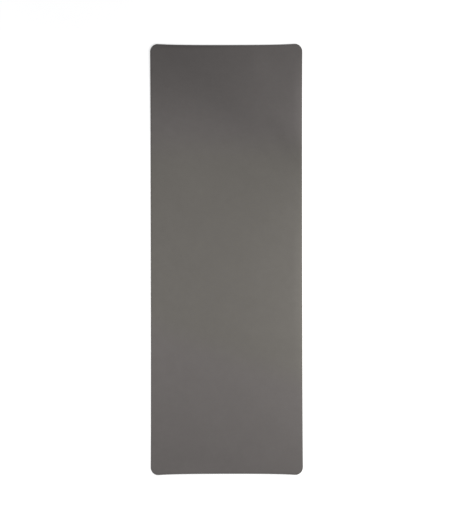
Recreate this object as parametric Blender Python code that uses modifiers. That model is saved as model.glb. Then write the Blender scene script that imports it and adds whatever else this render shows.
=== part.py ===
"""Fitness mat: a thin laminated exercise mat with rounded corners, rolled out flat and ready for use.

The mat is five sheets bonded face to face and then cut out in one stroke, so they all share one outline.
From the floor up they are a grip skin, a lower foam, a reinforcing scrim, an upper foam and a top skin.
Lengths are in metres. The origin is the middle of the underside, +X runs across the mat, +Y runs along it
and +Z points up.
"""

import math

import bmesh
import bpy
from mathutils import Vector

# Outline of the mat, which every layer shares
MAT_WIDTH = 0.610  # between the middles of the two long sides
MAT_LENGTH = 1.727  # between the middles of the two ends
CORNER_RADIUS = 0.031
SIDE_DRAW_IN = 0.0016  # how far the middle of a long side lies inside its two corners
END_DRAW_IN = 0.0045  # how far the middle of an end lies inside its two corners

# How a drawn-in edge bends, as shares of its run from the middle to the corner and of its draw-in
MIDDLE_HANDLE_SHARE = 0.55
CORNER_HANDLE_SHARE = 0.20
CORNER_FALL_SHARE = 0.75
OUTLINE_STEPS = 12  # straight steps in each stretch between two outline points

# Layers, named from the floor up
GRIP_SKIN_THICKNESS = 0.0008
LOWER_FOAM_THICKNESS = 0.0015
SCRIM_THICKNESS = 0.0003
UPPER_FOAM_THICKNESS = 0.0017
TOP_SKIN_THICKNESS = 0.0007
BOND_GAP = 0.00025  # the bond line between two layers

# Reinforcing scrim, a flat net of crossing yarns
SCRIM_YARN_WIDTH = 0.0020
WARP_YARNS = 10  # run along the mat
WEFT_YARNS = 28  # run across the mat
TRIM_OVERRUN = 0.010  # how far raw yarns and the trimming shape reach past what they cut
WELD_DISTANCE = 0.0001  # loose points of the trimming shape nearer than this are joined

# Colours as screen values from 0 to 255, and the matt finishes that go with them
TOP_SKIN_COLOUR = (110, 106, 102)
UPPER_FOAM_COLOUR = (118, 114, 110)
SCRIM_COLOUR = (205, 202, 194)
LOWER_FOAM_COLOUR = (84, 81, 79)
GRIP_SKIN_COLOUR = (72, 70, 68)
SKIN_ROUGHNESS = 0.62
FOAM_ROUGHNESS = 0.90
YARN_ROUGHNESS = 0.75


def clear_scene():
    for old in list(bpy.data.objects):
        bpy.data.objects.remove(old, do_unlink=True)


def new_collection(name):
    made = bpy.data.collections.new(name)
    bpy.context.scene.collection.children.link(made)
    return made


def linear(channel):
    """One screen colour channel, from 0 to 255, as the linear value that a shader takes."""
    share = channel / 255
    if share <= 0.04045:
        return share / 12.92
    return ((share + 0.055) / 1.055) ** 2.4


def new_material(name, colour, roughness):
    made = bpy.data.materials.new(name)
    made.use_nodes = True
    shader = made.node_tree.nodes["Principled BSDF"]
    shader.inputs["Base Color"].default_value = (*map(linear, colour), 1.0)
    shader.inputs["Roughness"].default_value = roughness
    shader.inputs["Metallic"].default_value = 0.0
    return made


def outline_points():
    """The outline anticlockwise from the middle of the +X side: each point with its two curve handles."""
    corner_y = MAT_LENGTH / 2 + END_DRAW_IN - CORNER_RADIUS
    corner_x = MAT_WIDTH / 2 + SIDE_DRAW_IN - CORNER_RADIUS
    quarter_turn_handle = CORNER_RADIUS * 4 / 3 * math.tan(math.pi / 8)

    # A long side leaves its corner with a small fall towards its drawn-in middle
    side_middle = Vector((MAT_WIDTH / 2, 0.0))
    side_reach = Vector((0.0, MIDDLE_HANDLE_SHARE * corner_y))
    side_corner = Vector((corner_x + CORNER_RADIUS, corner_y))
    side_fall = Vector((-CORNER_FALL_SHARE * SIDE_DRAW_IN, -CORNER_HANDLE_SHARE * corner_y))

    # An end does the same, turned through a quarter
    end_middle = Vector((0.0, MAT_LENGTH / 2))
    end_reach = Vector((MIDDLE_HANDLE_SHARE * corner_x, 0.0))
    end_corner = Vector((corner_x, corner_y + CORNER_RADIUS))
    end_fall = Vector((-CORNER_HANDLE_SHARE * corner_x, -CORNER_FALL_SHARE * END_DRAW_IN))

    quarter = [
        (side_middle, side_middle - side_reach, side_middle + side_reach),
        (
            side_corner,
            side_corner + side_fall,
            side_corner - side_fall.normalized() * quarter_turn_handle,
        ),
        (
            end_corner,
            end_corner - end_fall.normalized() * quarter_turn_handle,
            end_corner + end_fall,
        ),
        (end_middle, end_middle + end_reach, end_middle - end_reach),
    ]
    # The second quarter mirrors the two corner points, and meets them in the opposite order
    mirror = Vector((-1.0, 1.0))
    mirrored = [
        (point * mirror, after * mirror, before * mirror)
        for point, before, after in reversed(quarter[1:3])
    ]
    half = quarter + mirrored
    return half + [(-point, -before, -after) for point, before, after in half]


def outline_sheet(name, thickness, floor_height, parent_collection):
    """A closed sheet of the mat's outline, with its underside at the given height."""
    curve = bpy.data.curves.new(name, "CURVE")
    curve.dimensions = "2D"
    curve.fill_mode = "BOTH"
    curve.extrude = thickness / 2
    curve.resolution_u = OUTLINE_STEPS
    points = outline_points()
    spline = curve.splines.new("BEZIER")
    spline.bezier_points.add(len(points) - 1)
    spline.use_cyclic_u = True
    for knot, (point, before, after) in zip(spline.bezier_points, points):
        knot.handle_left_type = knot.handle_right_type = "FREE"
        knot.co = point.to_3d()
        knot.handle_left = before.to_3d()
        knot.handle_right = after.to_3d()
    sheet = bpy.data.objects.new(name, curve)
    sheet.location.z = floor_height + thickness / 2
    parent_collection.objects.link(sheet)
    return sheet


def mesh_from_curve(curve_object):
    """Replaces a curve object by the closed mesh that it draws, because a Boolean takes no curve."""
    bpy.context.view_layer.update()
    graph = bpy.context.evaluated_depsgraph_get()
    mesh = bpy.data.meshes.new_from_object(curve_object.evaluated_get(graph))
    shape = bmesh.new()
    shape.from_mesh(mesh)
    bmesh.ops.remove_doubles(shape, verts=shape.verts, dist=WELD_DISTANCE)
    shape.to_mesh(mesh)
    shape.free()
    made = bpy.data.objects.new(curve_object.name, mesh)
    made.matrix_world = curve_object.matrix_world
    curve_object.users_collection[0].objects.link(made)
    bpy.data.objects.remove(curve_object, do_unlink=True)
    return made


def as_helper(helper):
    helper.hide_render = True
    helper.display_type = "WIRE"


def yarn_row(name, size, first_place, step, count, parent_collection):
    """A row of parallel straight yarns: one flat bar, repeated by an Array."""
    bpy.ops.mesh.primitive_cube_add(size=1.0, location=first_place)
    row = bpy.context.object
    row.name = name
    row.scale = size
    bpy.ops.object.transform_apply(location=False, rotation=False, scale=True)
    for holder in list(row.users_collection):
        holder.objects.unlink(row)
    parent_collection.objects.link(row)
    repeat = row.modifiers.new("yarns", "ARRAY")
    repeat.count = count
    repeat.use_relative_offset = False
    repeat.use_constant_offset = True
    repeat.constant_offset_displace = step
    return row


def cut_or_join(target, tool, operation):
    boolean = target.modifiers.new(tool.name, "BOOLEAN")
    boolean.operation = operation
    boolean.solver = "EXACT"
    boolean.object = tool


def scrim_net(name, floor_height, parts, cutters):
    """The net: rows of warp and weft yarns joined where they cross, and trimmed with the mat's edge."""
    height = floor_height + SCRIM_THICKNESS / 2
    warp_pitch = MAT_WIDTH / WARP_YARNS
    weft_pitch = MAT_LENGTH / WEFT_YARNS
    net = yarn_row(
        name,
        (MAT_WIDTH + 2 * TRIM_OVERRUN, SCRIM_YARN_WIDTH, SCRIM_THICKNESS),
        (0.0, (weft_pitch - MAT_LENGTH) / 2, height),
        (0.0, weft_pitch, 0.0),
        WEFT_YARNS,
        parts,
    )
    warp = yarn_row(
        "warp_yarns",
        (SCRIM_YARN_WIDTH, MAT_LENGTH + 2 * TRIM_OVERRUN, SCRIM_THICKNESS),
        ((warp_pitch - MAT_WIDTH) / 2, 0.0, height),
        (warp_pitch, 0.0, 0.0),
        WARP_YARNS,
        cutters,
    )
    trim = mesh_from_curve(
        outline_sheet(
            "trimming_outline",
            SCRIM_THICKNESS + 2 * TRIM_OVERRUN,
            floor_height - TRIM_OVERRUN,
            cutters,
        )
    )
    as_helper(warp)
    as_helper(trim)
    cut_or_join(net, warp, "UNION")
    cut_or_join(net, trim, "INTERSECT")
    return net


def build_mat():
    parts = new_collection("fitness_mat")
    cutters = new_collection("cutters")
    frame = bpy.data.objects.new("mat_frame", None)
    parts.objects.link(frame)

    height = 0.0
    layers = []

    # Grip skin, the rubbery face that lies on the floor
    grip_skin = outline_sheet("grip_skin", GRIP_SKIN_THICKNESS, height, parts)
    layers.append((grip_skin, GRIP_SKIN_COLOUR, SKIN_ROUGHNESS))
    height += GRIP_SKIN_THICKNESS + BOND_GAP

    # Lower foam, the darker half of the cushion
    lower_foam = outline_sheet("lower_foam", LOWER_FOAM_THICKNESS, height, parts)
    layers.append((lower_foam, LOWER_FOAM_COLOUR, FOAM_ROUGHNESS))
    height += LOWER_FOAM_THICKNESS + BOND_GAP

    # Reinforcing scrim, which keeps the foam from stretching and tearing
    scrim = scrim_net("reinforcing_scrim", height, parts, cutters)
    layers.append((scrim, SCRIM_COLOUR, YARN_ROUGHNESS))
    height += SCRIM_THICKNESS + BOND_GAP

    # Upper foam, the half of the cushion under the body
    upper_foam = outline_sheet("upper_foam", UPPER_FOAM_THICKNESS, height, parts)
    layers.append((upper_foam, UPPER_FOAM_COLOUR, FOAM_ROUGHNESS))
    height += UPPER_FOAM_THICKNESS + BOND_GAP

    # Top skin, the matt wear face
    top_skin = outline_sheet("top_skin", TOP_SKIN_THICKNESS, height, parts)
    layers.append((top_skin, TOP_SKIN_COLOUR, SKIN_ROUGHNESS))

    for layer, colour, roughness in layers:
        layer.data.materials.append(new_material(layer.name, colour, roughness))
        layer.parent = frame


clear_scene()
build_mat()
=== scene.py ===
"""Looks of the fitness mat: its skins, foams, net and grip ribs, on a white floor under soft lamps.

Lengths are in metres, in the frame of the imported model: +X across the mat, +Y along it, +Z up.
Colours of surfaces are screen values from 0 to 255, and colours of lights are linear factors.
A tone is a factor that makes a colour lighter or darker.
"""

import math

import bpy
import numpy as np
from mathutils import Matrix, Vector, noise
from mathutils.geometry import delaunay_2d_cdt


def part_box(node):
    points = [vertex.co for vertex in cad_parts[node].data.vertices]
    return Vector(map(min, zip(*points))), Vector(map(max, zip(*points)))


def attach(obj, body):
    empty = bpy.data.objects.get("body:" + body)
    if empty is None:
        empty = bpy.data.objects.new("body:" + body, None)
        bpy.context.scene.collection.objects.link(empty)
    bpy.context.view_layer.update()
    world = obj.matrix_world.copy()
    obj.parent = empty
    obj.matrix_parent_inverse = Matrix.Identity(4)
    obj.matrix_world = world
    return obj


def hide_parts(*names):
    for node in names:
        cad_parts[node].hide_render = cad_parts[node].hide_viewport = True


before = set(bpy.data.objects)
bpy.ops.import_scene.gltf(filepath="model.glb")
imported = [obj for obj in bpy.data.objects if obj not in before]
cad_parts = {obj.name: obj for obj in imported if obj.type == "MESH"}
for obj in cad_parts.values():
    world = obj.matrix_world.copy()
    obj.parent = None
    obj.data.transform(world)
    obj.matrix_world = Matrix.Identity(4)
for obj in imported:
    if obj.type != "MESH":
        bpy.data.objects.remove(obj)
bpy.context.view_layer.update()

# The photograph's frame in pixels, and where the middle of the mat lies in it
IMAGE_WIDTH = 450
IMAGE_HEIGHT = 518
MAT_CENTRE = (226.50, 259.42)
PIXEL_SIZE = 0.004027
CAMERA_ROLL_DEGREES = -0.09
CAMERA_LENS_MM = 100.0
CAMERA_SENSOR_MM = 36.0

# Heights of the layers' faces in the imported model
GRIP_SKIN_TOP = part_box("grip_skin")[1].z
LOWER_FOAM_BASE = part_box("lower_foam")[0].z
SCRIM_BASE, SCRIM_TOP = (corner.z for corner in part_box("reinforcing_scrim"))
UPPER_FOAM_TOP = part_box("upper_foam")[1].z
TOP_SKIN_BASE, TOP_SKIN_TOP = (corner.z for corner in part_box("top_skin"))

# Here the layers meet at their bond lines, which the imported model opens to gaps
GRIP_BOND = (GRIP_SKIN_TOP + LOWER_FOAM_BASE) / 2
SCRIM_BOND = (SCRIM_BASE + SCRIM_TOP) / 2
SKIN_BOND = (UPPER_FOAM_TOP + TOP_SKIN_BASE) / 2
BOND_LINE = 0.00002

# Steps of the meshes
EDGE_STEP = 0.008
EDGE_LEAST_CUTS = 3
FACE_STEP = 0.012
FACE_LEAST_CUTS = 2
ARRIS_STEPS = 5
SHOULDER_STEPS = 10
SHARP_DEGREES = 30.0  # an edge that turns by more than this isn't shaded smooth
MERGE_DISTANCE = 1e-7
INSIDE_ONLY = 1  # asks the triangulation for the triangles inside the boundary

# Edge of the mat: a soft shoulder that the cut has pressed down, a rounded arris and a dished side
SHOULDER_REACH = 0.014
SHOULDER_DROP = 0.0012
SHOULDER_POWER = 3
TOP_ARRIS = 0.0004
LAYER_ARRIS = 0.00014
FOAM_DISH = 0.00012
FOAM_DISH_SHARES = (-0.6, -0.2, 0.2, 0.6)  # heights of its points from its middle, where 1 is its top

# Soft dips of the top skin, which fade out towards the edge
RELIEF_DEPTH = 0.0003
RELIEF_SIZE = 0.22
RELIEF_FADE = 0.055

# Net of the scrim, with its weft laid on its warp
YARN_PITCH = 0.006
YARN_WIDTH = 0.0009
YARN_THICKNESS = 0.0001
YARN_SIDES = 6
YARN_END_PROUD = 0.00006
YARN_WANDER = 0.0004
YARN_SEED = 7

# Wavy grip ribs of the underside
RIB_PITCH = 0.010
RIB_CREST_SHARE = 0.50
RIB_FLANK_SHARE = 0.10
RIB_DEPTH = 0.0005
RIB_WAVE_LENGTH = 0.050
RIB_WAVE_SWING = 0.0035
RIB_ROW_STEP = 0.00625
RIB_OVERRUN = 0.012  # how far the ribbed slab reaches past the outline that cuts it


# Outline of the mat


def packed_outline():
    """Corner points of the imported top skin's outline, in anticlockwise order."""
    points = {
        (round(vertex.co.x, 6), round(vertex.co.y, 6))
        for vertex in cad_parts["top_skin"].data.vertices
    }
    return np.array(sorted(points, key=lambda p: math.atan2(p[1], p[0])))


def resampled(points, step, least_cuts):
    """The closed outline on a smooth curve through its corner points, cut into even steps."""
    before, after = np.roll(points, 1, axis=0), np.roll(points, -1, axis=0)
    lengths = np.linalg.norm(after - points, axis=1)[:, None]
    # The longer neighbour counts most, so the straight sides don't bulge where they meet a corner
    tangents = (after - before) / (lengths + np.roll(lengths, 1, axis=0))
    tangents_after = np.roll(tangents, -1, axis=0)
    made = []
    for p, q, length, out, back in zip(points, after, lengths, tangents, tangents_after):
        cuts = max(least_cuts, math.ceil(length[0] / step))
        t = (np.arange(cuts) / cuts)[:, None]
        eased = t * t * (3 - 2 * t)
        bends = out * t * (1 - t) ** 2 - back * t * t * (1 - t)
        made.append(p + (q - p) * eased + bends * length)
    return np.concatenate(made)


def drawn_in(outline, inset):
    """The outline moved inwards by inset."""
    along = np.roll(outline, -1, axis=0) - np.roll(outline, 1, axis=0)
    along /= np.linalg.norm(along, axis=1)[:, None]
    return outline + inset * np.column_stack([-along[:, 1], along[:, 0]])


def span(outline, axis, value):
    """Where the line with this value on the axis (0 for x, 1 for y) enters and leaves the outline."""
    start, step = outline, np.roll(outline, -1, axis=0) - outline
    crossed = (start[:, axis] > value) != (start[:, axis] + step[:, axis] > value)
    share = (value - start[crossed, axis]) / step[crossed, axis]
    places = start[crossed, 1 - axis] + share * step[crossed, 1 - axis]
    return places.min(), places.max()


OUTLINE = resampled(packed_outline(), EDGE_STEP, EDGE_LEAST_CUTS)
HALF_WIDTH, HALF_LENGTH = OUTLINE.max(axis=0)


# Meshes of the layers


def filled(boundary, step):
    """Points and triangles that fill a closed boundary. The boundary's own points come first."""
    points = [Vector(point) for point in boundary]
    base, length = boundary[:, 1].min(), np.ptp(boundary[:, 1])
    rows = round(length / step)
    for k in range(1, rows):
        y = base + length * k / rows
        first, last = span(boundary, 1, y)
        cuts = max(FACE_LEAST_CUTS, round((last - first) / step))
        points += [Vector((first + (last - first) * i / cuts, y)) for i in range(1, cuts)]
    ring = list(range(len(boundary)))
    made = delaunay_2d_cdt(points, [], [ring], INSIDE_ONLY, MERGE_DISTANCE)
    return [tuple(point) for point in made[0]], [tuple(face) for face in made[2]]


def arris(height, radius, first_degrees, last_degrees):
    """A rounded arris as (inset, height) pairs, centred at this height one radius inside the edge."""
    turns = np.radians(np.linspace(first_degrees, last_degrees, ARRIS_STEPS + 1))
    return [(radius * (1 - math.cos(t)), height + radius * math.sin(t)) for t in turns]


def shoulder(level, first_inset):
    """A face that bends down towards the edge, as (inset, height) pairs from the edge inwards."""
    insets = np.linspace(first_inset, SHOULDER_REACH, SHOULDER_STEPS + 1)
    falls = SHOULDER_DROP * (1 - insets / SHOULDER_REACH) ** SHOULDER_POWER
    return list(zip(insets, level - falls))


def slab_mesh(name, profile, relief=None):
    """A closed slab with the mat's outline. The profile's (inset, height) pairs go up its edge."""
    count = len(OUTLINE)
    places, faces = [], []
    for inset, height in profile:
        places += [(x, y, height) for x, y in drawn_in(OUTLINE, inset)]
    for k in range(len(profile) - 1):
        low, high = k * count, (k + 1) * count
        for i in range(count):
            j = (i + 1) % count
            faces.append((low + i, low + j, high + j, high + i))
    for ring, turned in ((0, True), (len(profile) - 1, False)):
        inset, height = profile[ring]
        points, triangles = filled(drawn_in(OUTLINE, inset), FACE_STEP)
        shift = len(places) - count
        number = {i: ring * count + i if i < count else shift + i for i in range(len(points))}
        places += [(x, y, height) for x, y in points[count:]]
        for triangle in triangles:
            corners = [number[i] for i in triangle]
            faces.append(corners[::-1] if turned else corners)
    if relief is not None:
        top = profile[-1][1]
        places = [(x, y, z + relief(x, y)) if z == top else (x, y, z) for x, y, z in places]
    mesh = bpy.data.meshes.new(name)
    mesh.from_pydata(places, [], faces)
    return mesh


def uneven(x, y):
    """Height of the top skin here against its level, which is zero or below."""
    edge = min(HALF_WIDTH - abs(x), HALF_LENGTH - abs(y))
    fade = min(1.0, max(0.0, edge / RELIEF_FADE))
    dip = (1 + noise.noise(Vector((x, y, 0.0)) / RELIEF_SIZE)) / 2
    return -RELIEF_DEPTH * fade * dip


def top_skin_mesh():
    """The top skin, which keeps its thickness down over the shoulder."""
    lower = shoulder(SKIN_BOND + BOND_LINE / 2, LAYER_ARRIS)
    upper = shoulder(TOP_SKIN_TOP, TOP_ARRIS)
    profile = lower[::-1] + arris(lower[0][1] + LAYER_ARRIS, LAYER_ARRIS, -90, 0)[1:]
    profile += arris(upper[0][1] - TOP_ARRIS, TOP_ARRIS, 0, 90)[:-1] + upper
    return slab_mesh("top_skin_surface", profile, uneven)


def foam_mesh(name, base, top, pressed):
    """A foam layer. Its cut edge is dished, and its top follows the shoulder where it is pressed."""
    base, top = base + BOND_LINE / 2, top - BOND_LINE / 2
    upper = shoulder(top, LAYER_ARRIS) if pressed else [(LAYER_ARRIS, top)]
    edge_top = upper[0][1]
    middle, half = (base + edge_top) / 2, (edge_top - base) / 2 - LAYER_ARRIS
    profile = arris(base + LAYER_ARRIS, LAYER_ARRIS, -90, 0)
    for share in FOAM_DISH_SHARES:
        profile.append((FOAM_DISH * (1 - share * share), middle + share * half))
    profile += arris(edge_top - LAYER_ARRIS, LAYER_ARRIS, 0, 90)[:-1] + upper
    return slab_mesh(name, profile)


def scrim_mesh():
    """The net: flat yarns from edge to edge, whose cut ends show in the mat's edge."""
    rng = np.random.default_rng(YARN_SEED)
    places, faces = [], []
    turns = np.arange(YARN_SIDES) * 2 * math.pi / YARN_SIDES
    # The warp is spread along x and lies below the net's middle, the weft along y and above it
    for axis, level in ((0, -YARN_THICKNESS / 2), (1, YARN_THICKNESS / 2)):
        room = span(OUTLINE, 1 - axis, 0.0)[1] - YARN_WIDTH - YARN_WANDER
        count = math.floor(2 * room / YARN_PITCH) + 1
        for k in range(count):
            place = (k - (count - 1) / 2) * YARN_PITCH + rng.uniform(-1, 1) * YARN_WANDER
            start, end = span(OUTLINE, axis, place)
            ends = (start - rng.random() * YARN_END_PROUD, end + rng.random() * YARN_END_PROUD)
            first = len(places)
            for along in ends:
                for turn in turns:
                    side = place + math.cos(turn) * YARN_WIDTH / 2
                    height = SCRIM_BOND + level + math.sin(turn) * YARN_THICKNESS / 2
                    places.append((side, along, height) if axis == 0 else (along, side, height))
            low, high = range(first, first + YARN_SIDES), range(first + YARN_SIDES, len(places))
            made = []
            for i in range(YARN_SIDES):
                j = (i + 1) % YARN_SIDES
                made.append((low[i], low[j], high[j], high[i]))
            made += [tuple(reversed(low)), tuple(high)]
            faces += [face[::-1] for face in made] if axis == 0 else made
    mesh = bpy.data.meshes.new("scrim_yarns")
    mesh.from_pydata(places, [], faces)
    return mesh


def rib_columns():
    """Columns of the ribbed face as (place across the mat, height), two for each crest and groove."""
    crest, flank = RIB_CREST_SHARE * RIB_PITCH, RIB_FLANK_SHARE * RIB_PITCH
    steps = [(0.0, 0.0), (crest, 0.0), (crest + flank, RIB_DEPTH), (RIB_PITCH - flank, RIB_DEPTH)]
    reach = HALF_WIDTH + RIB_WAVE_SWING + RIB_OVERRUN
    count = math.ceil(2 * reach / RIB_PITCH)
    return [
        (k * RIB_PITCH - count * RIB_PITCH / 2 + place, height)
        for k in range(count)
        for place, height in steps
    ]


def grip_skin_mesh():
    """A slab with a flat top and wavy ribs below, cut along the mat's outline."""
    columns = rib_columns()
    reach = HALF_LENGTH + RIB_OVERRUN
    rows, wide = math.ceil(2 * reach / RIB_ROW_STEP), len(columns)
    places, faces = [], []
    for k in range(rows + 1):
        y = reach * (2 * k / rows - 1)
        swing = RIB_WAVE_SWING * math.sin(2 * math.pi * y / RIB_WAVE_LENGTH)
        places += [(x + swing, y, height) for x, height in columns]
    for k in range(rows):
        for a in range(k * wide, (k + 1) * wide - 1):
            faces.append((a, a + wide, a + wide + 1, a + 1))
    # The rim runs round the ribbed face, and each of its points has one above it in the flat top
    last = rows * wide
    rim = [*range(wide - 1), *range(wide - 1, last + wide - 1, wide)]
    rim += [*range(last + wide - 1, last, -1), *range(last, 0, -wide)]
    upper = range(len(places), len(places) + len(rim))
    places += [(*places[i][:2], GRIP_BOND - BOND_LINE / 2) for i in rim]
    faces += zip(rim, rim[1:] + rim[:1], [*upper[1:], upper[0]], upper)
    faces.append(tuple(upper))
    mesh = bpy.data.meshes.new("grip_skin_ribs")
    mesh.from_pydata(places, [], faces)
    return cut_by_outline(mesh)


def cut_by_outline(mesh):
    """What of the mesh lies inside the mat's outline."""
    scratch = bpy.data.objects.new("scratch", mesh)
    low, high = -RIB_OVERRUN, TOP_SKIN_TOP + RIB_OVERRUN
    cutter = bpy.data.objects.new("cutter", slab_mesh("cutter", [(0.0, low), (0.0, high)]))
    for made in (scratch, cutter):
        bpy.context.scene.collection.objects.link(made)
    boolean = scratch.modifiers.new("outline", "BOOLEAN")
    boolean.operation = "INTERSECT"
    boolean.solver = "MANIFOLD"
    boolean.object = cutter
    graph = bpy.context.evaluated_depsgraph_get()
    cut = bpy.data.meshes.new_from_object(scratch.evaluated_get(graph))
    for made in (scratch, cutter):
        bpy.data.objects.remove(made, do_unlink=True)
    return cut


# Materials

NOISE_DETAIL = 2.0
FINE_DETAIL = 3.0
NOISE_SPREAD = (0.25, 0.75)  # nearly all of a noise lies between these
WIDE_SPREAD = (0.2, 0.8)  # brought from these, clouds stay fainter

# How the grains of a pebble grain are bent, in grain widths
PEBBLE_BEND_SIZE = 2
PEBBLE_BEND_REACH = 1 / 3
PEBBLE_BEND_DETAIL = 1.0


def linear(colour):
    """A colour as the linear values that a shader takes."""
    shares = [channel / 255 for channel in colour]
    return tuple(s / 12.92 if s <= 0.04045 else ((s + 0.055) / 1.055) ** 2.4 for s in shares)


def add_node(tree, kind, inputs, **settings):
    """A new node with these settings, each of whose inputs is a value or another node's output."""
    made = tree.nodes.new(kind)
    for key, value in settings.items():
        setattr(made, key, value)
    for key, value in inputs.items():
        if isinstance(value, bpy.types.NodeSocket):
            tree.links.new(value, made.inputs[key])
        else:
            made.inputs[key].default_value = value
    return made


class Finish:
    """A material on the Principled shader, with short calls for the nodes that feed it."""

    def __init__(self, name, specular):
        self.material = bpy.data.materials.new(name)
        self.material.use_nodes = True
        self.tree = self.material.node_tree
        self.shader = self.tree.nodes["Principled BSDF"]
        self.shader.inputs["Specular IOR Level"].default_value = specular
        self.coordinates = self.tree.nodes.new("ShaderNodeTexCoord").outputs["Object"]

    def node(self, kind, inputs, **settings):
        return add_node(self.tree, kind, inputs, **settings)

    def noise(self, size, detail=NOISE_DETAIL, coordinates=None):
        """Noise from 0 to 1 whose soft patches are about this wide."""
        inputs = {"Vector": coordinates or self.coordinates, "Scale": 1 / size, "Detail": detail}
        return self.node("ShaderNodeTexNoise", inputs).outputs["Fac"]

    def cells(self, size, feature="F1", coordinates=None):
        """Distance from the nearest cell's middle, or from the nearest edge, for cells this wide."""
        inputs = {"Vector": coordinates or self.coordinates, "Scale": 1 / size}
        return self.node("ShaderNodeTexVoronoi", inputs, feature=feature).outputs["Distance"]

    def scaled(self, x, y, z):
        """The coordinates, stretched along each axis."""
        inputs = {"Vector": self.coordinates, "Scale": (x, y, z)}
        return self.node("ShaderNodeMapping", inputs).outputs["Vector"]

    def bent(self, size, reach):
        """The coordinates, pushed about by up to this reach in soft patches about this wide."""
        inputs = {"Vector": self.coordinates, "Scale": 1 / size, "Detail": PEBBLE_BEND_DETAIL}
        push = self.node("ShaderNodeTexNoise", inputs).outputs["Color"]
        inputs = {0: push, 1: (2 * reach,) * 3, 2: self.coordinates}
        return self.node("ShaderNodeVectorMath", inputs, operation="MULTIPLY_ADD").outputs["Vector"]

    def ranged(self, value, low, high, from_low=0.0, from_high=1.0, smooth=False):
        """The value, brought from one range to another and held inside it."""
        inputs = {
            "Value": value,
            "From Min": from_low,
            "From Max": from_high,
            "To Min": low,
            "To Max": high,
        }
        kind = "SMOOTHSTEP" if smooth else "LINEAR"
        return self.node("ShaderNodeMapRange", inputs, interpolation_type=kind).outputs["Result"]

    def clouds(self, size, low, high, detail=FINE_DETAIL, spread=NOISE_SPREAD):
        """Soft patches about this wide, whose value goes from low to high."""
        return self.ranged(self.noise(size, detail), low, high, *spread)

    def pebbles(self, size, rise):
        """Height of grains this wide: 0 in their grooves, and 1 beyond this share of their width."""
        bent = self.bent(PEBBLE_BEND_SIZE * size, PEBBLE_BEND_REACH * size)
        edges = self.cells(size, "DISTANCE_TO_EDGE", bent)
        return self.ranged(edges, 0.0, 1.0, 0.0, rise, smooth=True)

    def product(self, values):
        result = values[0]
        for value in values[1:]:
            inputs = {0: result, 1: value}
            result = self.node("ShaderNodeMath", inputs, operation="MULTIPLY").outputs["Value"]
        return result

    def along(self, direction):
        """How far along this direction a place lies, in metres."""
        inputs = {0: self.coordinates, 1: direction}
        return self.node("ShaderNodeVectorMath", inputs, operation="DOT_PRODUCT").outputs["Value"]

    def patch(self, middle, turn_degrees, halves, tone):
        """A soft oval patch in the plane of the mat: its tone in the middle, and 1 outside it."""
        inputs = {
            "Vector": self.coordinates,
            "Location": (*middle, 0.0),
            "Rotation": (0.0, 0.0, math.radians(turn_degrees)),
            "Scale": (*halves, 1.0),
        }
        oval = self.node("ShaderNodeMapping", inputs, vector_type="TEXTURE").outputs["Vector"]
        distance = self.node("ShaderNodeVectorMath", {0: oval}, operation="LENGTH").outputs["Value"]
        return self.ranged(distance, tone, 1.0, smooth=True)

    def mixed(self, first, second, share):
        """A colour between two, where the share of the second goes from 0 to 1."""
        inputs = {"A": (*linear(first), 1.0), "B": (*linear(second), 1.0), "Factor": share}
        return self.node("ShaderNodeMix", inputs, data_type="RGBA").outputs["Result"]

    def colour(self, colour, tone):
        """Gives the shader the colour, made lighter or darker by the tone."""
        colour = colour if isinstance(colour, bpy.types.NodeSocket) else linear(colour)
        vector = self.node("ShaderNodeVectorMath", {0: colour, "Scale": tone}, operation="SCALE")
        self.tree.links.new(vector.outputs["Vector"], self.shader.inputs["Base Color"])

    def roughness(self, value):
        self.tree.links.new(value, self.shader.inputs["Roughness"])

    def bump(self, layers):
        """Adds up bump layers, each a height from 0 to 1 and what 1 is in metres."""
        normal = None
        for height, depth in layers:
            inputs = {"Height": height, "Distance": depth}
            if normal is not None:
                inputs["Normal"] = normal
            normal = self.node("ShaderNodeBump", inputs).outputs["Normal"]
        self.tree.links.new(normal, self.shader.inputs["Normal"])


# Top skin. Its colour drifts softly from yellower in the middle to a touch of mauve at both ends
MIDDLE_COLOUR = (110, 107, 102)
ENDS_COLOUR = (111, 107, 105)
UPPER_DRIFT = (0.36, 0.55)  # along the mat, where the upper drift starts and ends
LOWER_DRIFT = (-0.30, -0.46)
LOWER_DRIFT_SLANT = 0.36  # how much further down the lower drift lies for each metre to the right

# Soft patches of painted light and painted shade in the skin's colour: middle, turn in degrees, half
# length and half width, and tone in the middle, above 1 for painted light and below 1 for painted
# shade
SKIN_PAINTED_LIGHT_AND_SHADE = [
    ((0.240, 0.480), -57.0, (0.17, 0.070), 0.90),
    ((0.070, 0.410), -30.0, (0.17, 0.080), 1.04),
    ((0.305, 0.630), 90.0, (0.24, 0.045), 1.22),
    ((0.150, 0.780), 90.0, (0.20, 0.090), 1.07),
    ((0.305, -0.120), 90.0, (0.66, 0.045), 1.13),
    ((-0.130, 0.868), 0.0, (0.30, 0.028), 0.74),
    ((-0.160, -0.850), 0.0, (0.24, 0.060), 1.06),
]
SHOULDER_PAINTED_SHADE = 0.95  # painted shade on the shoulder, where the cut has pressed the edge down
# Between these heights the painted shade of the shoulder fades out
SHOULDER_PAINTED_SHADE_HEIGHTS = (TOP_SKIN_TOP - SHOULDER_DROP / 2, TOP_SKIN_TOP - RELIEF_DEPTH)

# Clouds of tone or roughness, here and below: width, and lowest and highest value
SKIN_CLOUDS = (0.11, 0.975, 1.025)
SKIN_MOTTLE = (0.012, 0.985, 1.015)
SKIN_ROUGHNESS = (0.03, 0.66, 0.78)
SKIN_SPECULAR = 0.3

# Pebble grains, here and below: width, and over what share of it a grain rises from its grooves
SKIN_PEBBLES = (0.0014, 0.22)
# Tones in the grooves and on the grains: painted shade, darker in the grooves
SKIN_PEBBLE_PAINTED_SHADE = (0.93, 1.01)
SKIN_PEBBLE_DEPTH = 0.00005
SKIN_GRAIN_SIZE = 0.0004
SKIN_GRAIN_DEPTH = 0.00003


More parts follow.
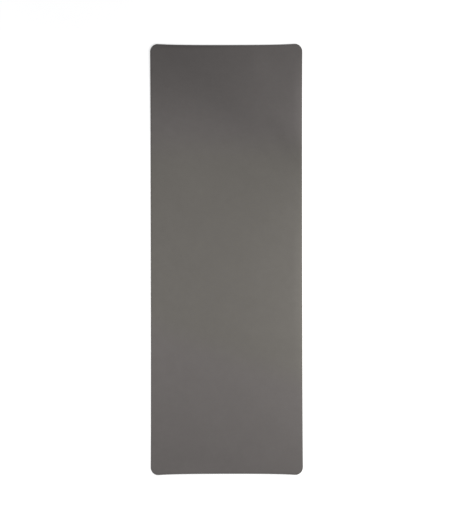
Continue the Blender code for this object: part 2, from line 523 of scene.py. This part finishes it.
def top_skin_finish():
    """Matt warm grey skin: a fine pebble grain with painted shade in its grooves, soft clouds of tone
    from handling, painted shade down the pressed shoulder, and patches of painted light and painted
    shade.
    """
    finish = Finish("top_skin", SKIN_SPECULAR)
    pebbles = finish.pebbles(*SKIN_PEBBLES)
    tones = [
        finish.clouds(*SKIN_CLOUDS, spread=WIDE_SPREAD),
        finish.clouds(*SKIN_MOTTLE, detail=NOISE_DETAIL, spread=WIDE_SPREAD),
        # Painted shade in the pebble grooves
        finish.ranged(pebbles, *SKIN_PEBBLE_PAINTED_SHADE),
        # Painted shade, darker down the pressed shoulder
        finish.ranged(finish.along((0.0, 0.0, 1.0)), SHOULDER_PAINTED_SHADE, 1.0, *SHOULDER_PAINTED_SHADE_HEIGHTS),
    ]
    # The patches paint light and shade into the skin's colour
    tones += [finish.patch(*patch) for patch in SKIN_PAINTED_LIGHT_AND_SHADE]
    aslant = finish.along((LOWER_DRIFT_SLANT, 1.0, 0.0))
    above_lower = finish.ranged(aslant, 0.0, 1.0, *reversed(LOWER_DRIFT), smooth=True)
    lengthways = finish.along((0.0, 1.0, 0.0))
    below_upper = finish.ranged(lengthways, 1.0, 0.0, *UPPER_DRIFT, smooth=True)
    between = finish.product([above_lower, below_upper])
    finish.colour(finish.mixed(ENDS_COLOUR, MIDDLE_COLOUR, between), finish.product(tones))
    finish.roughness(finish.clouds(*SKIN_ROUGHNESS))
    grain = finish.noise(SKIN_GRAIN_SIZE, FINE_DETAIL)
    finish.bump([(pebbles, SKIN_PEBBLE_DEPTH), (grain, SKIN_GRAIN_DEPTH)])
    return finish.material


# Foams, with fine pores in their cut edge
UPPER_FOAM_COLOUR = (118, 114, 110)
LOWER_FOAM_COLOUR = (84, 81, 79)
FOAM_SPECULAR = 0.2
FOAM_CLOUDS = (0.03, 0.95, 1.05)
FOAM_ROUGHNESS = (0.004, 0.84, 0.94)
PORE_SIZE = 0.00035
PORE_PAINTED_SHADE = (0.82, 1.06)  # in its middle, painted shade in the pore's hollow, and at its rim, a lighter edge
PORE_RIM_SHARE = 0.5  # how far the rim lies from the middle, as a share of the pore's width
PORE_DEPTH = 0.00008
FOAM_GRAIN_SIZE = 0.0008
FOAM_GRAIN_DEPTH = 0.00003


def foam_finish(name, colour):
    """Closed-cell foam: its cut edge is full of fine pores, with painted shade in their hollows."""
    finish = Finish(name, FOAM_SPECULAR)
    pores = finish.cells(PORE_SIZE)
    # Painted shade in the hollow of each pore
    pore_painted_shade = finish.ranged(pores, *PORE_PAINTED_SHADE, 0.0, PORE_RIM_SHARE)
    finish.colour(colour, finish.product([finish.clouds(*FOAM_CLOUDS), pore_painted_shade]))
    finish.roughness(finish.clouds(*FOAM_ROUGHNESS, detail=NOISE_DETAIL))
    finish.bump([(pores, PORE_DEPTH), (finish.noise(FOAM_GRAIN_SIZE), FOAM_GRAIN_DEPTH)])
    return finish.material


# Yarns of the net
YARN_COLOUR = (205, 202, 194)
YARN_SPECULAR = 0.35
YARN_ROUGHNESS = (0.003, 0.68, 0.82)
STRAND_SIZE = 0.001
STRAND_SCALES = (12.0, 0.5)  # how much finer than the noise they are, across a yarn and along it
# Tones where the strands sink and where they stand: painted shade in the low lines
STRAND_PAINTED_SHADE = (0.85, 1.06)
STRAND_SPREAD = (0.1, 0.4)
STRAND_DEPTH = 0.00003


def yarn_finish():
    """Flat off-white polyester yarn, with the fine lines of its filaments and painted shade where
    they sink.
    """
    finish = Finish("scrim_yarn", YARN_SPECULAR)
    fine, coarse = STRAND_SCALES
    warp = finish.noise(STRAND_SIZE, coordinates=finish.scaled(fine, coarse, 1.0))
    weft = finish.noise(STRAND_SIZE, coordinates=finish.scaled(coarse, fine, 1.0))
    strands = finish.product([warp, weft])
    finish.colour(YARN_COLOUR, finish.ranged(strands, *STRAND_PAINTED_SHADE, *STRAND_SPREAD))
    finish.roughness(finish.clouds(*YARN_ROUGHNESS, detail=NOISE_DETAIL))
    finish.bump([(strands, STRAND_DEPTH)])
    return finish.material


# Grip skin
GRIP_COLOUR = (72, 70, 68)
GRIP_SPECULAR = 0.3
GRIP_CLOUDS = (0.08, 0.93, 1.07)
GRIP_ROUGHNESS = (0.02, 0.60, 0.74)
GRIP_PEBBLES = (0.0009, 0.25)
# Tones in the grooves and on the grains: painted shade, darker in the grooves
GRIP_PEBBLE_PAINTED_SHADE = (0.92, 1.02)
GRIP_PEBBLE_DEPTH = 0.00004
GRIP_GRAIN_SIZE = 0.0003
GRIP_GRAIN_DEPTH = 0.00002


def grip_skin_finish():
    """Charcoal elastomer skin with a fine matt grain, and painted shade in its grooves."""
    finish = Finish("grip_skin", GRIP_SPECULAR)
    pebbles = finish.pebbles(*GRIP_PEBBLES)
    # Painted shade, darker in the grooves between the grains
    grooves = finish.ranged(pebbles, *GRIP_PEBBLE_PAINTED_SHADE)
    finish.colour(GRIP_COLOUR, finish.product([finish.clouds(*GRIP_CLOUDS), grooves]))
    finish.roughness(finish.clouds(*GRIP_ROUGHNESS))
    grain = finish.noise(GRIP_GRAIN_SIZE, FINE_DETAIL)
    finish.bump([(pebbles, GRIP_PEBBLE_DEPTH), (grain, GRIP_GRAIN_DEPTH)])
    return finish.material


# Stage: floor, world, softboxes and camera

WHITE = (1.0, 1.0, 1.0, 1.0)
FLOOR_SIZE = 60.0
FLOOR_COLOUR = (245, 245, 244)
FLOOR_ROUGHNESS = 0.9
FLOOR_GLOW = (0.50, 0.80)  # at the middle of the mat, and far out where the lamps no longer reach
FLOOR_GLOW_REACH = 2.5
WORLD_LIGHT = 0.30
WORLD_COLOUR = (0.99, 0.995, 1.03, 1.0)

# Square softboxes. The light of each is a relative measure of what reaches its aim
LAMPS = [
    {
        "name": "key_softbox",
        "place": (1.255, -0.045, 1.075),
        "aim": (1.2, -0.135, 0.0),
        "width": 0.59,
        "light": 1.97,
        "colour": (1.0, 0.99, 0.97),
    },
    {
        "name": "fill_softbox",
        "place": (-0.455, -0.08, 1.035),
        "aim": (-1.14, -1.225, 0.0),
        "width": 0.57,
        "light": 0.182,
        "colour": (1.0, 0.99, 0.98),
    },
    {
        "name": "low_fill",
        "place": (-0.095, 0.525, 0.47),
        "aim": (-1.035, -0.51, 0.0),
        "width": 0.26,
        "light": 0.034,
        "colour": (1.0, 0.99, 0.98),
    },
]


def add_lamp(name, place, aim, width, light, colour):
    way = Vector(aim) - Vector(place)
    lamp = bpy.data.lights.new(name, "AREA")
    lamp.shape = "RECTANGLE"
    lamp.size = lamp.size_y = width
    lamp.energy = light * (math.pi * way.length) ** 2
    lamp.color = colour
    made = bpy.data.objects.new(name, lamp)
    made.location = place
    made.rotation_euler = way.to_track_quat("-Z", "Y").to_euler()
    made.visible_camera = False
    bpy.context.scene.collection.objects.link(made)


def camera_rays(tree):
    """1 for what the camera, a reflection or a view through glass sees, 0 for light on things."""
    path = tree.nodes.new("ShaderNodeLightPath").outputs
    seen = path["Is Camera Ray"]
    for kind in ("Is Glossy Ray", "Is Transmission Ray"):
        inputs = {0: seen, 1: path[kind]}
        seen = add_node(tree, "ShaderNodeMath", inputs, operation="MAXIMUM").outputs["Value"]
    return seen


def floor_finish():
    """Matt white, with a glow that lights nothing and makes up for the lamps' falling off."""
    material = bpy.data.materials.new("floor")
    material.use_nodes = True
    tree = material.node_tree
    shader = tree.nodes["Principled BSDF"].inputs
    shader["Base Color"].default_value = (*linear(FLOOR_COLOUR), 1.0)
    shader["Roughness"].default_value = FLOOR_ROUGHNESS
    shader["Specular IOR Level"].default_value = 0.0
    shader["Emission Color"].default_value = WHITE
    place = tree.nodes.new("ShaderNodeTexCoord").outputs["Object"]
    distance = add_node(tree, "ShaderNodeVectorMath", {0: place}, operation="LENGTH").outputs["Value"]
    near, far = FLOOR_GLOW
    inputs = {"Value": distance, "From Max": FLOOR_GLOW_REACH, "To Min": near, "To Max": far}
    level = add_node(tree, "ShaderNodeMapRange", inputs).outputs["Result"]
    glow = add_node(tree, "ShaderNodeMath", {0: camera_rays(tree), 1: level}, operation="MULTIPLY")
    tree.links.new(glow.outputs["Value"], shader["Emission Strength"])
    return material


def add_floor():
    mesh = bpy.data.meshes.new("floor")
    half = FLOOR_SIZE / 2
    corners = [(-half, -half, 0.0), (half, -half, 0.0), (half, half, 0.0), (-half, half, 0.0)]
    mesh.from_pydata(corners, [], [(0, 1, 2, 3)])
    mesh.materials.append(floor_finish())
    floor = bpy.data.objects.new("floor", mesh)
    bpy.context.scene.collection.objects.link(floor)


def add_world():
    """A soft even light, which the camera and reflections see as white."""
    world = bpy.data.worlds.new("studio")
    world.use_nodes = True
    tree = world.node_tree
    background = tree.nodes["Background"].inputs
    seen = camera_rays(tree)
    inputs = {"A": WORLD_COLOUR, "B": WHITE, "Factor": seen}
    mix = add_node(tree, "ShaderNodeMix", inputs, data_type="RGBA")
    tree.links.new(mix.outputs["Result"], background["Color"])
    strength = add_node(tree, "ShaderNodeMapRange", {"Value": seen, "To Min": WORLD_LIGHT})
    tree.links.new(strength.outputs["Result"], background["Strength"])
    bpy.context.scene.world = world


def add_camera():
    """The photograph's view, straight down from where the whole frame is seen."""
    camera = bpy.data.cameras.new("camera")
    camera.lens = CAMERA_LENS_MM
    camera.sensor_width = CAMERA_SENSOR_MM
    # The sensor's width spans the longer side of the image, which is its height
    distance = IMAGE_HEIGHT * PIXEL_SIZE * CAMERA_LENS_MM / CAMERA_SENSOR_MM
    made = bpy.data.objects.new("camera", camera)
    across = (IMAGE_WIDTH / 2 - MAT_CENTRE[0]) * PIXEL_SIZE
    along = (MAT_CENTRE[1] - IMAGE_HEIGHT / 2) * PIXEL_SIZE
    made.location = (across, along, TOP_SKIN_TOP + distance)
    made.rotation_euler.z = math.radians(CAMERA_ROLL_DEGREES)
    bpy.context.scene.collection.objects.link(made)
    bpy.context.scene.camera = made


# The mat, from the floor up


def add_piece(name, mesh, material, node):
    """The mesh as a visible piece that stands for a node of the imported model."""
    mesh.materials.clear()
    mesh.materials.append(material)
    mesh.shade_smooth()
    mesh.set_sharp_from_angle(angle=math.radians(SHARP_DEGREES))
    piece = bpy.data.objects.new(name, mesh)
    bpy.context.scene.collection.objects.link(piece)
    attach(piece, "root")
    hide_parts(node)
    return piece


add_piece("grip_skin_ribs", grip_skin_mesh(), grip_skin_finish(), "grip_skin")
lower_foam = add_piece(
    "lower_foam_core",
    foam_mesh("lower_foam_core", GRIP_BOND, SCRIM_BOND, pressed=False),
    foam_finish("lower_foam", LOWER_FOAM_COLOUR),
    "lower_foam",
)
add_piece("scrim_yarns", scrim_mesh(), yarn_finish(), "reinforcing_scrim")
upper_foam = add_piece(
    "upper_foam_core",
    foam_mesh("upper_foam_core", SCRIM_BOND, SKIN_BOND, pressed=True),
    foam_finish("upper_foam", UPPER_FOAM_COLOUR),
    "upper_foam",
)
add_piece("top_skin_surface", top_skin_mesh(), top_skin_finish(), "top_skin")

add_camera()
add_floor()
add_world()
for lamp in LAMPS:
    add_lamp(**lamp)
bpy.context.scene.view_settings.view_transform = "Standard"
